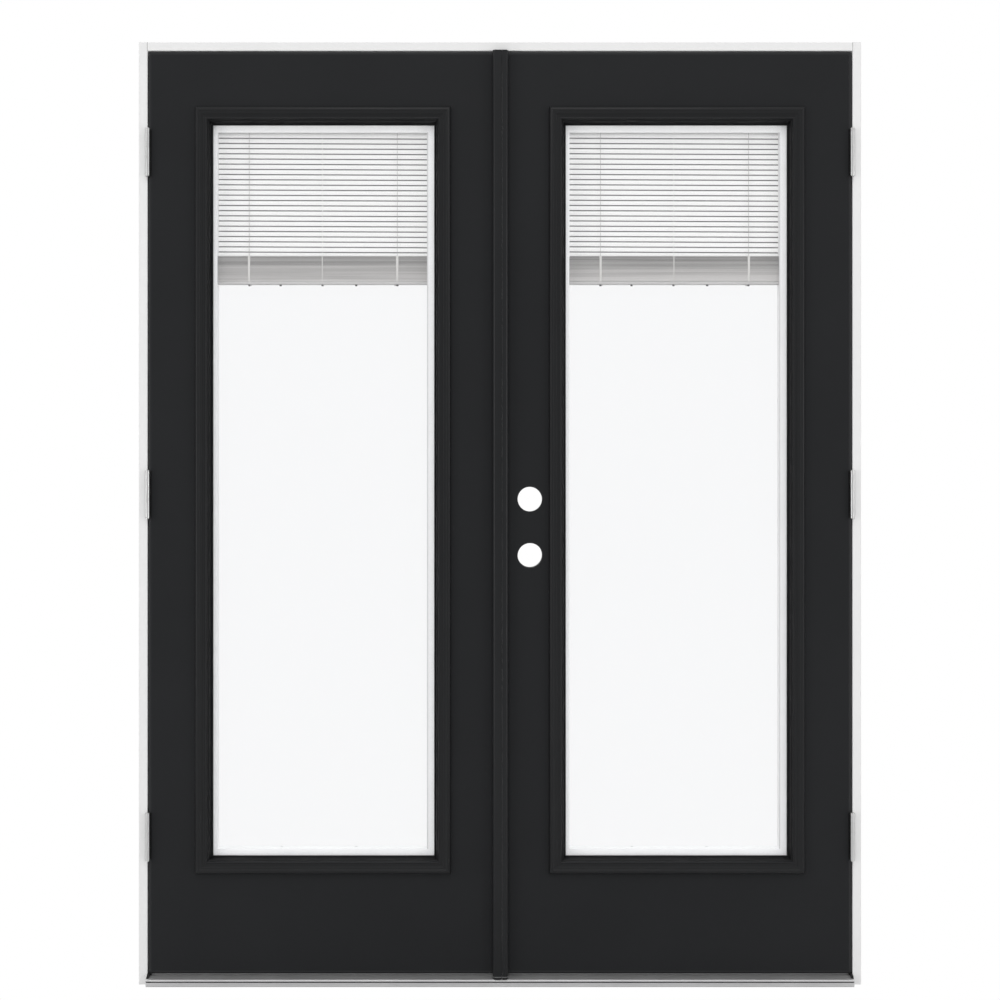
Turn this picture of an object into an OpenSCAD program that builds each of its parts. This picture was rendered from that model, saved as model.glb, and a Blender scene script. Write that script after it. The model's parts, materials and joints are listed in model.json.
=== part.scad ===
// French doors: an outswing pair with blinds sealed in the glass, hung in their frame.
// X runs to the right seen from outside, Y runs indoors and Z runs up, in millimetres.
// The origin is the middle of the sill's underside, in the plane of the jambs' outer edge.

/* [Frame] */
// Width over the side jambs
frame_w = 1574.8; // [1400:0.1:1900]
// Height from the sill's underside to the top of the head
frame_h = 2054; // [1980:1:2450]
// Depth of the jambs from outer to inner edge
jamb_d = 116; // [100:1:180]
// Thickness of a jamb beside the leaf
jamb_t = 19; // [16:0.5:40]
// How far the stop stands out from the jamb
stop_t = 12.7; // [10:0.1:20]
// Small round-off on the jambs' outer edges
jamb_ease = 1.2; // [0.4:0.1:3]
// Width of the kerf that holds a weatherstrip
kerf_w = 3; // [2:0.1:4]
// Depth of that kerf
kerf_d = 9; // [6:0.5:14]

/* [Sill] */
// How far the sill's nose stands out in front of the jambs
nose_out = 17; // [12:0.5:40]
// Height of the deck's top at the nose
nose_h = 15.6; // [14:0.1:18]
// Height of the deck's top under the leaf
deck_h = 19.4; // [18:0.1:21]
// Thickness of the aluminium deck
deck_t = 2; // [1.5:0.1:3]
// Height of the deck's front lip
deck_lip_h = 3.8; // [2.5:0.1:4.5]
// Height of the base's front lip
base_lip_h = 9.3; // [6:0.1:10]
// How far the base's lip stands behind the nose
base_back = 1; // [0.5:0.1:3]
// Depth of the shadow groove between the two lips
groove_d = 5; // [2:0.5:8]
// Bevel along the deck's edges
deck_ease = 0.7; // [0.3:0.1:1.2]
// How far the riser stands behind the face of the stops
riser_back = 1; // [0.5:0.1:4]
// Height of the riser behind the leaf
riser_h = 38; // [34:0.5:50]
// Width of the riser's top
riser_w = 14; // [8:0.5:24]
// Height of the sill at its indoor edge
indoor_h = 33; // [28:0.5:34]

/* [Leaves] */
// Thickness of a leaf
door_t = 44.45; // [40:0.05:57]
// Gap between a leaf and the jamb or head
door_gap = 3.2; // [2.6:0.1:4]
// Gap between the two meeting edges
meeting_gap = 10.4; // [10:0.1:14]
// Height of a leaf's underside above the sill's underside
door_bottom = 24.8; // [24:0.1:30]
// Thickness of the face skins
skin_t = 1.5; // [0.8:0.1:3]
// Bevel along the skins' edges
skin_bevel = 1.1; // [0.3:0.1:1.4]
// Width of the stile on the hinge side
hinge_stile_w = 32; // [25:1:60]
// Width of the stile on the meeting edge, with its lock block
lock_stile_w = 100; // [92:1:120]
// Width of the core between that stile and the lite's hole
core_strip = 18; // [8:1:60]
// Height of the top rail
top_rail_h = 40; // [25:1:70]
// Height of the bottom rail
bottom_rail_h = 40; // [25:1:150]
// Space between the leaf and the stop, for the weatherstrip
seal_gap = 3.2; // [2.4:0.1:6]

/* [Lock bores] */
// Radius of the cross bores
lock_bore_r = 26.99; // [20:0.01:28]
// Distance from the meeting edge to the bores' axis
lock_backset = 60.3; // [52:0.1:62]
// Height of the upper bore's axis
upper_bore_z = 1058; // [950:1:1250]
// Distance between the two bores
bore_pitch = 123; // [90:1:160]
// Radius of the latch bores in the meeting edge
latch_bore_r = 12.7; // [10:0.1:16]

/* [Lites] */
// Distance from the leaf's top to the clear opening inside the moulding
lite_above = 157.3; // [110:0.1:400]
// Distance from the leaf's underside to that opening
lite_below = 254.5; // [110:0.1:900]
// Width of the moulding round it
moulding_w = 36.6; // [34:0.1:44]
// How far the moulding stands proud of the leaf
moulding_proud = 10.4; // [9:0.1:14]
// Radius of the moulding's outer rim
rim_r = 5; // [3:0.1:7.5]
// How far the rim stands above the fascia beside it
rim_step = 0.6; // [0.3:0.1:1.5]
// How far the fascia's foot lies below the top of the rim
fascia_fall = 2.4; // [1.6:0.1:4]
// Radius of the bead at the fascia's foot
bead_r = 2; // [1.4:0.1:2.6]
// How far the bead's middle lies below the fascia's foot
bead_sunk = 0.9; // [0.4:0.1:1.3]
// Width of the slope between the bead and the lip
throat_w = 7; // [3:0.1:9]
// Width of the lip over the glass
lip_w = 2.8; // [2:0.1:8]
// Thickness of the lip's edge
lip_t = 2.2; // [1.6:0.1:3]
// Bevel along the lip's edge
lip_bevel = 1; // [0.5:0.1:1.4]
// Distance from the clear opening to the edge of the hole in the leaf
hole_margin = 20.5; // [18:0.1:24]
// Clearance between the lite frame and that hole
hole_fit = 0.5; // [0.3:0.1:1]
// Thickness of the sealed glass unit
unit_t = 25.4; // [22:0.1:28]
// Thickness of a pane
pane_t = 3.2; // [2.5:0.1:5]
// How far the unit reaches behind the moulding
pane_bite = 12.5; // [9:0.1:13]
// Clearance between the unit's edge and the lite frame
unit_fit = 0.6; // [0.3:0.1:1]
// Width of the spacer in view on the left
spacer_left = 8.2; // [6:0.1:20]
// Width of the spacer in view on the right, over the lift magnets
spacer_right = 15; // [10:0.1:24]
// Width of the spacer in view at the bottom
spacer_bottom = 13.5; // [6:0.1:24]

/* [Blinds] */
// Height of the head rail
headrail_h = 14; // [10:0.1:20]
// Depth of the head rail
headrail_d = 16; // [14:0.1:18]
// Wall of the head rail
headrail_wall = 1.2; // [0.8:0.1:2]
// Number of slats that hang free
slat_count = 24; // [6:1:30]
// Distance from slat to slat
slat_pitch = 11.3; // [10:0.1:13]
// Width of a slat
slat_w = 12.4; // [10:0.1:13]
// Thickness of a slat
slat_t = 0.4; // [0.3:0.05:0.6]
// Rise of a slat's curved section
slat_bow = 1.2; // [0.6:0.1:2]
// Tilt of the slats from level
slat_tilt = 76; // [40:1:80]
// Space at each end of the slats
slat_end_gap = 0.8; // [0.4:0.1:3]
// Number of folds seen in the gathered stack
stack_folds = 27; // [10:1:34]
// Height of one fold in the stack
fold_pitch = 2; // [1.4:0.1:3]
// Depth of the notch between folds
fold_notch = 0.9; // [0.4:0.1:2]
// Clearance between the slats and their ladders
ladder_fit = 0.3; // [0.2:0.1:0.6]
// Space between the lowest hanging slat's pitch and the stack
stack_gap = 1.1; // [0.8:0.1:3]
// Height of the bottom rail
rail_h = 5.6; // [4:0.1:9]
// Bevel along the bottom rail's lower edges
rail_bevel = 1; // [0.4:0.1:2]
// Depth of the bottom rail
rail_d = 13.4; // [10:0.1:15]
// Radius of the plugs under the bottom rail
plug_r = 2.4; // [1.5:0.1:4]
// Height of those plugs
plug_h = 2.6; // [1:0.1:5]
// Distance from the middle ladder to the outer ones
ladder_pitch = 159; // [100:1:180]
// Distance from the middle plug to the next one on its left
left_plug = 93; // [40:1:98]
// Distance from the middle plug to the next one on its right
right_plug = 73; // [40:1:98]
// Thickness of a ladder tape
ladder_t = 0.8; // [0.5:0.1:1.2]

/* [Lift slider] */
// Space between the lift track and the edge of the clear opening
track_in = 0.5; // [0.2:0.1:3]
// Width of the lift track on the room side of the glass
track_w = 14; // [10:0.5:18]
// Thickness of the track's strip
track_t = 2.4; // [1.5:0.1:4]
// Width of the track's rail
track_rail_w = 5; // [3:0.1:7]
// Height of the rail above its strip
track_rail_h = 3.6; // [2:0.1:5]
// Length of the slider
slider_h = 44; // [25:1:80]
// Width of the slider
slider_w = 11.4; // [9:0.1:14]
// Thickness of the slider over the rail
slider_cover = 3.4; // [2:0.1:6]
// Running clearance between the slider and its rail
slider_fit = 0.3; // [0.2:0.05:0.5]
// Bevel along the slider's edges
slider_bevel = 1.5; // [0.5:0.1:2.5]

/* [Hinges] */
// Height of a hinge
hinge_h = 103; // [80:1:130]
// Distance from the leaf's top to the upper hinge's middle
hinge_top = 219; // [150:1:300]
// Distance from the leaf's underside to the lower hinge's middle
hinge_low = 298.5; // [150:1:350]
// Radius of the barrel
barrel_r = 5.3; // [5:0.1:6.5]
// Space between the barrel and the leaf's face
barrel_out = 1.2; // [0.8:0.1:3]
// Radius of the hinge pin
pin_r = 3.17; // [2.5:0.01:3.6]
// Radial clearance between pin and knuckles
pin_fit = 0.05; // [0.02:0.01:0.1]
// Thickness of a hinge leaf
hinge_t = 2.4; // [1.8:0.1:3]
// How far a hinge leaf reaches behind the leaf's face
hinge_reach = 36; // [28:0.5:40]
// Radius of the hinge leaf's corners
hinge_corner = 12; // [4:0.5:16]
// Gap between knuckles
knuckle_gap = 0.4; // [0.3:0.1:0.8]
// Space between a knuckle and the other leaf's plate
barrel_relief = 0.4; // [0.3:0.1:0.8]
// Thickness of the pin's caps
pin_cap_h = 1.4; // [0.8:0.1:3]

/* [Astragal] */
// Width over both halves of the astragal
astragal_w = 34.4; // [30:0.1:40]
// How far it stands proud of the leaves
astragal_out = 18; // [14:0.5:26]
// Radius of its rounded shoulders
astragal_round = 7; // [5:0.5:12]
// Offset of its middle to the right
astragal_shift = 1.1; // [0:0.1:1.5]
// Where the seam between the halves lies, to the right of the middle
seam_x = 3.9; // [3:0.1:4]
// Width of that seam
seam_w = 1.4; // [1.2:0.1:1.8]
// Depth of the flange on the passive leaf's edge
edge_flange_d = 13; // [8:0.5:16]
// Thickness of that flange
edge_flange_t = 6.2; // [4:0.1:6.4]
// How far the astragal reaches below the leaf
astragal_drop = 2.4; // [0:0.1:3]

/* [Seals and bolts] */
// Clearance between seals and the leaf
seal_fit = 0.4; // [0.3:0.05:0.8]
// Bevel along the seals' edges
seal_ease = 1; // [0.5:0.1:1.5]
// Clearance of a weatherstrip's tail in its kerf
kerf_fit = 0.2; // [0.1:0.05:0.4]
// How far that tail stops short of the kerf's end
kerf_spare = 1; // [0.5:0.1:2]
// Width of a weatherstrip's bulb
bulb_w = 9.5; // [8.5:0.1:10]
// Height of the seal on the riser
riser_seal_h = 9; // [6:0.1:11]
// Distance from the riser's top to that seal
riser_seal_drop = 2; // [1:0.1:4]
// Thickness of the sweep's plate and fins
sweep_t = 1.5; // [1:0.1:2]
// Number of fins on the sweep
sweep_fins = 3; // [2:1:5]
// Width of the sweep
sweep_w = 34; // [24:0.5:38]
// Length of the pads in the sill's corners
pad_w = 7; // [5:0.1:9]
// How far those pads stand behind the leaf's face
pad_back = 2; // [1:0.1:6]
// Space between a pad and the sweep
pad_gap = 1; // [0.5:0.1:3]
// Radius of a flush bolt
bolt_r = 4.75; // [3:0.05:6]
// Length of a flush bolt
bolt_len = 180; // [120:1:260]
// Travel of a flush bolt
bolt_throw = 15; // [10:0.5:16]
// Distance from the meeting edge to the bolts' axis
bolt_in = 15; // [12:0.5:24]
// Radial clearance round a bolt
bolt_fit = 0.3; // [0.2:0.05:0.5]
// Bevel at a bolt's end
bolt_tip = 1.5; // [0.5:0.1:2.5]
// How far a bolt's end lies inside the leaf when it is drawn
bolt_sunk = 0.5; // [0.2:0.1:2]
// Space past a bolt's end in its slot
strike_spare = 1; // [0.5:0.1:3]
// Distance from a bolt's inner end to its thumb tab
tab_in = 20; // [8:0.5:60]
// Height of the bolts' thumb tab
tab_h = 14; // [8:0.5:24]
// Width of that tab
tab_w = 4; // [3:0.1:6]
// Clear width of the slots that take the bolts
strike_w = 12; // [11:0.1:16]

/* [Hidden] */
$fn = 48;
LEFT = -1;
RIGHT = 1;

half_w = frame_w / 2;
rabbet_x = half_w - jamb_t;
stop_x = rabbet_x - stop_t;
rabbet_d = door_t + seal_gap;
head_z = frame_h - jamb_t;
kerf_in = (stop_t - kerf_w) / 2;

leaf_x0 = meeting_gap / 2;
leaf_x1 = rabbet_x - door_gap;
leaf_z0 = door_bottom;
leaf_z1 = head_z - door_gap;
core_y0 = skin_t;
core_y1 = door_t - skin_t;
mid_y = door_t / 2;

lite_edge = lock_stile_w + core_strip + hole_margin;
lite_w = leaf_x1 - leaf_x0 - 2 * lite_edge;
lite_h = leaf_z1 - lite_above - leaf_z0 - lite_below;
lite_x = (leaf_x0 + leaf_x1) / 2;
lite_mid_z = leaf_z0 + lite_below + lite_h / 2;
lite_top = lite_h / 2;
lite_side = lite_w / 2;
glass_y0 = mid_y - unit_t / 2;
glass_y1 = mid_y + unit_t / 2;
gap_y0 = glass_y0 + pane_t;
gap_y1 = glass_y1 - pane_t;
hole_w = lite_w + 2 * hole_margin;
hole_h = lite_h + 2 * hole_margin;
unit_w = lite_w + 2 * pane_bite;
unit_h = lite_h + 2 * pane_bite;

lip_y = glass_y0 - lip_t;
bead_u = lip_w + throat_w + bead_r;
fascia_y = fascia_fall - moulding_proud;
bead_y = fascia_y + bead_sunk;
rim_u = moulding_w - rim_r;
rim_y = rim_r - moulding_proud;
frame_wall_in = pane_bite + unit_fit;
frame_wall_out = hole_margin - hole_fit;

slat_x0 = -lite_side + spacer_left + slat_end_gap;
slat_x1 = lite_side - spacer_right - slat_end_gap;
slat_mid_x = (slat_x0 + slat_x1) / 2;
slat_r = (slat_w * slat_w / 4 + slat_bow * slat_bow) / (2 * slat_bow);
hang_h = slat_count * slat_pitch;
stack_h = stack_folds * fold_pitch;
stack_top = lite_top - headrail_h - hang_h - stack_gap;
rail_top = stack_top - stack_h;
ladder_y = slat_w / 2 * cos(slat_tilt) + slat_bow + slat_t + ladder_fit + ladder_t / 2;
ladder_places = [for (k = [-1:1]) k * ladder_pitch];
plug_places = concat(ladder_places, [-left_plug, right_plug]);

track_x1 = lite_side - track_in;
track_x0 = track_x1 - track_w;
track_mid_x = (track_x0 + track_x1) / 2;
slider_z = rail_top;

pin_x = rabbet_x - door_gap / 2;
pin_y = -(barrel_r + barrel_out);
knuckle_h = (hinge_h - 4 * knuckle_gap) / 5;
knuckle_step = knuckle_h + knuckle_gap;
hinge_low_z = leaf_z0 + hinge_low;
hinge_top_z = leaf_z1 - hinge_top;
hinge_z = [hinge_low_z, (hinge_low_z + hinge_top_z) / 2, hinge_top_z];

bolt_x = -(leaf_x0 + bolt_in);
leaf_mid_z = (leaf_z0 + leaf_z1) / 2;
leaf_half = (leaf_z1 - leaf_z0) / 2;
tab_z = leaf_half - bolt_len + tab_in;
strike_depth = bolt_throw - door_gap + strike_spare;

sweep_end = pad_w - door_gap + pad_gap;
base_top = deck_h - deck_t;
riser_y = rabbet_d + riser_back;
seal_y = door_t + seal_fit;
past = 1;

BLACK = "#292b2d";
WHITE = "#eeeeec";
ALUMINIUM = "#a8abae";
NICKEL = "#c9c9c6";
RUBBER = "#1b1b1c";

// A box between two corners, given as ranges
module box(x, y, z) {
    translate([x[0], y[0], z[0]])
        cube([x[1] - x[0], y[1] - y[0], z[1] - z[0]]);
}

// A profile in Y and Z, run along X between two places
module along_x(x0, x1) {
    translate([x0, 0, 0])
        rotate([90, 0, 90])
            linear_extrude(x1 - x0)
                children();
}

// A profile in X and Z, run along Y between two places
module along_y(y0, y1) {
    translate([0, y1, 0])
        rotate([90, 0, 0])
            linear_extrude(y1 - y0)
                children();
}

// A profile in X and Y, run along Z between two heights
module along_z(z0, z1) {
    translate([0, 0, z0])
        linear_extrude(z1 - z0)
            children();
}

// The right-hand form, or its mirror image on the left
module on_side(side) {
    if (side == RIGHT)
        children();
    else
        mirror([1, 0, 0])
            children();
}

// Both leaves' lites have the same hand, so a lite is moved and not mirrored
module in_lite(side) {
    translate([side * lite_x, 0, lite_mid_z])
        children();
}

// Hinge leaf's outline in Y and Z, square at the barrel and round at its far corners
module hinge_outline() {
    straight = hinge_reach - hinge_corner;
    tall = hinge_h / 2 - hinge_corner;
    translate([pin_y, -hinge_h / 2])
        square([straight - pin_y, hinge_h]);
    translate([pin_y, -tall])
        square([hinge_reach - pin_y, 2 * tall]);
    for (end = [-1, 1])
        translate([straight, end * tall])
            circle(hinge_corner);
}

// The three hinge plates of one side, from x0 to x1
module hinge_plates(x0, x1) {
    for (z = hinge_z)
        translate([0, 0, z])
            along_x(x0, x1)
                hinge_outline();
}

// One knuckle or its relief, counted from the bottom of the hinge
module knuckle(k, r, grow) {
    translate([pin_x, pin_y, -hinge_h / 2 + k * knuckle_step - grow])
        cylinder(r = r, h = knuckle_h + 2 * grow);
}

// A hinge leaf with its own knuckles, clear of the other leaf's
module hinge_leaf(x0, x1, own, other) {
    difference() {
        union() {
            along_x(x0, x1)
                hinge_outline();
            for (k = own)
                knuckle(k, barrel_r, 0);
        }
        for (k = other)
            knuckle(k, barrel_r + barrel_relief, knuckle_gap);
        translate([pin_x, pin_y, -hinge_h / 2 - past])
            cylinder(r = pin_r + pin_fit, h = hinge_h + 2 * past);
    }
}

module frame_hinge_leaves(side) {
    color(NICKEL)
        on_side(side)
            for (z = hinge_z)
                translate([0, 0, z])
                    hinge_leaf(rabbet_x, rabbet_x + hinge_t, [0, 2, 4], [1, 3]);
}

module door_hinge_leaves(side) {
    color(NICKEL)
        on_side(side)
            for (z = hinge_z)
                translate([0, 0, z])
                    hinge_leaf(leaf_x1 - hinge_t, leaf_x1, [1, 3], [0, 2, 4]);
}

module hinge_pins(side) {
    cap_r = (barrel_r + pin_r) / 2;
    color(NICKEL)
        on_side(side)
            for (z = hinge_z)
                translate([pin_x, pin_y, z]) {
                    cylinder(r = pin_r, h = hinge_h, center = true);
                    translate([0, 0, hinge_h / 2])
                        cylinder(r = cap_r, h = pin_cap_h);
                    translate([0, 0, -hinge_h / 2 - pin_cap_h])
                        cylinder(r = cap_r, h = pin_cap_h);
                }
}

// A jamb board in section, eased along its outer edges
module jamb_profile() {
    polygon([
        [rabbet_x, jamb_ease], [rabbet_x + jamb_ease, 0],
        [half_w - jamb_ease, 0], [half_w, jamb_ease],
        [half_w, jamb_d], [rabbet_x, jamb_d],
    ]);
}

module side_jamb(side) {
    color(WHITE)
        on_side(side)
            difference() {
                along_z(0, frame_h)
                    jamb_profile();
                hinge_plates(rabbet_x - past, rabbet_x + hinge_t);
            }
}

// The slot in the head or sill that takes a flush bolt
module strike_slot(z0, z1) {
    half = strike_w / 2;
    box([bolt_x - half, bolt_x + half], [mid_y - half, mid_y + half], [z0, z1]);
}

module head_jamb() {
    color(WHITE)
        difference() {
            along_x(-rabbet_x, rabbet_x)
                polygon([
                    [jamb_ease, head_z], [jamb_d, head_z], [jamb_d, frame_h],
                    [jamb_ease, frame_h], [0, frame_h - jamb_ease], [0, head_z + jamb_ease],
                ]);
            strike_slot(head_z - past, head_z + strike_depth);
        }
}

// A section for the left and right sides of the rabbet, and the same one turned under the head
module round_rabbet(z0) {
    for (side = [LEFT, RIGHT])
        on_side(side)
            along_z(z0, head_z)
                translate([stop_x, 0])
                    children();
    along_x(-stop_x, stop_x)
        translate([0, head_z - stop_t])
            mirror([1, -1])
                children();
}

// A stop in section, with the kerf for the weatherstrip
module stop_profile() {
    polygon([
        [0, rabbet_d], [0, jamb_d], [stop_t, jamb_d], [stop_t, rabbet_d],
        [kerf_in + kerf_w, rabbet_d], [kerf_in + kerf_w, rabbet_d + kerf_d],
        [kerf_in, rabbet_d + kerf_d], [kerf_in, rabbet_d],
    ]);
}

module door_stops() {
    color(WHITE)
        round_rabbet(0)
            stop_profile();
}

// What the jambs' stops leave free across the sill
module between_jambs() {
    difference() {
        along_x(-rabbet_x, rabbet_x)
            children();
        for (side = [LEFT, RIGHT])
            on_side(side)
                box([stop_x, half_w], [rabbet_d, jamb_d + past], [-past, frame_h]);
    }
}

module sill_base() {
    color(ALUMINIUM)
        difference() {
            between_jambs()
                polygon([
                    [-nose_out + base_back, 0], [-nose_out + base_back, base_lip_h],
                    [-nose_out + groove_d, base_lip_h], [-nose_out + groove_d, nose_h - deck_t],
                    [0, base_top], [jamb_d, base_top], [jamb_d, 0],
                ]);
            strike_slot(-past, deck_h);
        }
}

module sill_deck() {
    color(ALUMINIUM)
        difference() {
            between_jambs()
                polygon([
                    [-nose_out, nose_h - deck_lip_h], [-nose_out, nose_h - deck_ease],
                    [-nose_out + deck_ease, nose_h], [0, deck_h], [riser_y, deck_h],
                    [riser_y, base_top], [0, base_top], [-nose_out + groove_d, nose_h - deck_t],
                    [-nose_out + deck_t, nose_h - deck_t], [-nose_out + deck_t, nose_h - deck_lip_h],
                ]);
            strike_slot(0, deck_h + past);
        }
}

module sill_riser() {
    color(ALUMINIUM)
        between_jambs()
            polygon([
                [riser_y, base_top], [riser_y, riser_h - deck_ease], [riser_y + deck_ease, riser_h],
                [riser_y + riser_w, riser_h], [jamb_d, indoor_h], [jamb_d, base_top],
            ]);
}

module sill_riser_seal() {
    top = riser_h - riser_seal_drop;
    low = top - riser_seal_h;
    color(RUBBER)
        along_x(-stop_x, stop_x)
            polygon([
                [riser_y, low], [riser_y, top],
                [seal_y + seal_ease, top], [seal_y, top - seal_ease],
                [seal_y, low + seal_ease], [seal_y + seal_ease, low],
            ]);
}

module sill_corner_pads() {
    color(RUBBER)
        for (side = [LEFT, RIGHT])
            on_side(side)
                box([rabbet_x - pad_w, rabbet_x], [pad_back, door_t], [deck_h, leaf_z0 - seal_fit]);
}

// A weatherstrip's section: a tail in the kerf and a bulb against the leaf
module strip_profile() {
    tail_x0 = kerf_in + kerf_fit;
    tail_x1 = kerf_in + kerf_w - kerf_fit;
    tail_y = rabbet_d + kerf_d - kerf_spare;
    bulb_x0 = (stop_t - bulb_w) / 2;
    bulb_x1 = bulb_x0 + bulb_w;
    polygon([
        [bulb_x0, rabbet_d], [bulb_x0, seal_y + seal_ease], [bulb_x0 + seal_ease, seal_y],
        [bulb_x1 - seal_ease, seal_y], [bulb_x1, seal_y + seal_ease], [bulb_x1, rabbet_d],
        [tail_x1, rabbet_d], [tail_x1, tail_y], [tail_x0, tail_y], [tail_x0, rabbet_d],
    ]);
}

module weatherstrips() {
    color(RUBBER)
        round_rabbet(deck_h)
            strip_profile();
}

// The leaf's outline, bevelled along the edges of one skin
module skin_slab(y_out, y_in) {
    y_bevel = y_out + sign(y_in - y_out) * skin_bevel;
    intersection() {
        along_z(leaf_z0, leaf_z1)
            polygon([
                [leaf_x0, y_in], [leaf_x0, y_bevel], [leaf_x0 + skin_bevel, y_out],
                [leaf_x1 - skin_bevel, y_out], [leaf_x1, y_bevel], [leaf_x1, y_in],
            ]);
        along_x(leaf_x0, leaf_x1)
            polygon([
                [y_in, leaf_z0], [y_bevel, leaf_z0], [y_out, leaf_z0 + skin_bevel],
                [y_out, leaf_z1 - skin_bevel], [y_bevel, leaf_z1], [y_in, leaf_z1],
            ]);
    }
}

// The hole in a leaf that takes its lite frame
module lite_hole() {
    translate([lite_x, 0, lite_mid_z])
        box([-hole_w / 2, hole_w / 2], [-past, door_t + past], [-hole_h / 2, hole_h / 2]);
}

// Cross bores through the active leaf
module lock_bores() {
    for (z = [upper_bore_z, upper_bore_z - bore_pitch])
        translate([leaf_x0 + lock_backset, door_t + past, z])
            rotate([90, 0, 0])
                cylinder(r = lock_bore_r, h = door_t + 2 * past);
}

// Latch bores from the meeting edge to the cross bores
module latch_bores() {
    for (z = [upper_bore_z, upper_bore_z - bore_pitch])
        translate([leaf_x0 - past, mid_y, z])
            rotate([0, 90, 0])
                cylinder(r = latch_bore_r, h = lock_backset + past);
}

module skin(side, y_out, y_in) {
    color(BLACK)
        on_side(side)
            difference() {
                skin_slab(y_out, y_in);
                lite_hole();
                hinge_plates(leaf_x1 - hinge_t, leaf_x1 + past);
                if (side == RIGHT)
                    lock_bores();
            }
}

module exterior_skin(side) {
    skin(side, 0, skin_t);
}

module interior_skin(side) {
    skin(side, door_t, door_t - skin_t);
}

module hinge_stile(side) {
    color(BLACK)
        on_side(side)
            difference() {
                box([leaf_x1 - hinge_stile_w, leaf_x1], [core_y0, core_y1], [leaf_z0, leaf_z1]);
                hinge_plates(leaf_x1 - hinge_t, leaf_x1 + past);
            }
}

// Bore and thumb slot for one flush bolt, at the top of the passive leaf's stile
module bolt_pocket() {
    slot = tab_w + 2 * bolt_fit;
    translate([bolt_x, mid_y, 0]) {
        translate([0, 0, leaf_half - bolt_len - past])
            cylinder(r = bolt_r + bolt_fit, h = bolt_len + 2 * past);
        box([0, bolt_in + past], [-slot / 2, slot / 2], [tab_z - past, tab_z + tab_h + bolt_throw + past]);
    }
}

module lock_stile(side) {
    color(BLACK)
        difference() {
            on_side(side)
                box([leaf_x0, leaf_x0 + lock_stile_w], [core_y0, core_y1], [leaf_z0, leaf_z1]);
            if (side == RIGHT) {
                lock_bores();
                latch_bores();
            }
            if (side == LEFT)
                translate([0, 0, leaf_mid_z])
                    for (end = [0, 1])
                        mirror([0, 0, end])
                            bolt_pocket();
        }
}

// A rail between the two stiles
module rail(side, z0, z1) {
    color(BLACK)
        on_side(side)
            box([leaf_x0 + lock_stile_w, leaf_x1 - hinge_stile_w], [core_y0, core_y1], [z0, z1]);
}

module top_rail(side) {
    rail(side, leaf_z1 - top_rail_h, leaf_z1);
}

module bottom_rail(side) {
    rail(side, leaf_z0, leaf_z0 + bottom_rail_h);
}

module foam_core(side) {
    color("#e3d7a6")
        on_side(side)
            difference() {
                box(
                    [leaf_x0 + lock_stile_w, leaf_x1 - hinge_stile_w],
                    [core_y0, core_y1],
                    [leaf_z0 + bottom_rail_h, leaf_z1 - top_rail_h]
                );
                lite_hole();
                if (side == RIGHT)
                    lock_bores();
            }
}

// One half of the lite frame in section: Y indoors from the leaf's face, then outwards from the clear opening
module moulding_profile() {
    difference() {
        union() {
            polygon([
                [glass_y0, 0], [lip_y, 0], [lip_y - lip_bevel, lip_bevel], [lip_y - lip_bevel, lip_w],
                [bead_y, bead_u - bead_r], [fascia_y, bead_u + bead_r], [rim_step - moulding_proud, rim_u],
                [rim_y, moulding_w], [0, moulding_w], [0, frame_wall_out], [mid_y, frame_wall_out],
                [mid_y, frame_wall_in], [glass_y0, frame_wall_in],
            ]);
            translate([bead_y, bead_u])
                circle(bead_r);
            translate([rim_y, rim_u])
                circle(rim_r);
        }
        translate([0, frame_wall_out])
            square([mid_y, moulding_w]);
    }
}

// A section run round the clear opening, mitred at its corners
module mitred_ring(reach) {
    for (k = [0:3]) {
        run = k % 2 == 0 ? lite_w : lite_h;
        edge = k % 2 == 0 ? lite_top : lite_side;
        rotate([0, 90 * k, 0])
            intersection() {
                translate([0, 0, edge])
                    along_x(-run / 2 - reach, run / 2 + reach)
                        children();
                along_y(-door_t, 2 * door_t)
                    polygon([
                        [-run / 2, edge], [run / 2, edge],
                        [run / 2 + reach, edge + reach], [-run / 2 - reach, edge + reach],
                    ]);
            }
    }
}

module lite_frame_exterior(side) {
    color(BLACK)
        in_lite(side)
            mitred_ring(moulding_w)
                moulding_profile();
}

module lite_frame_interior(side) {
    color(BLACK)
        in_lite(side)
            mitred_ring(moulding_w)
                translate([door_t, 0])
                    mirror([1, 0])
                        moulding_profile();
}

// A pane from y0 to y1
module pane(side, y0, y1) {
    color("#dfe9ef", 0.4)
        in_lite(side)
            box([-unit_w / 2, unit_w / 2], [y0, y1], [-unit_h / 2, unit_h / 2]);
}

module glass_exterior(side) {
    pane(side, glass_y0, gap_y0);
}

module glass_interior(side) {
    pane(side, gap_y1, glass_y1);
}

module glass_spacer(side) {
    color(WHITE)
        in_lite(side)
            difference() {
                box([-unit_w / 2, unit_w / 2], [gap_y0, gap_y1], [-unit_h / 2, unit_h / 2]);
                box(
                    [-lite_side + spacer_left, lite_side - spacer_right],
                    [gap_y0 - past, gap_y1 + past],
                    [-lite_top + spacer_bottom, lite_top]
                );
            }
}

module blind_headrail(side) {
    color(WHITE)
        in_lite(side)
            along_x(-lite_side + spacer_left, lite_side - spacer_right)
                difference() {
                    translate([mid_y - headrail_d / 2, lite_top - headrail_h])
                        square([headrail_d, headrail_h]);
                    translate([mid_y - headrail_d / 2 + headrail_wall, lite_top - headrail_h - past])
                        square([headrail_d - 2 * headrail_wall, headrail_h - headrail_wall + past]);
                }
}

// A slat's curved section, level and hollow side down
module slat_profile() {
    intersection() {
        translate([0, -slat_r + slat_bow / 2])
            difference() {
                circle(slat_r, $fn = 120);
                circle(slat_r - slat_t, $fn = 120);
            }
        translate([-slat_w / 2, -slat_bow])
            square([slat_w, 2 * slat_bow]);
    }
}

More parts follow.
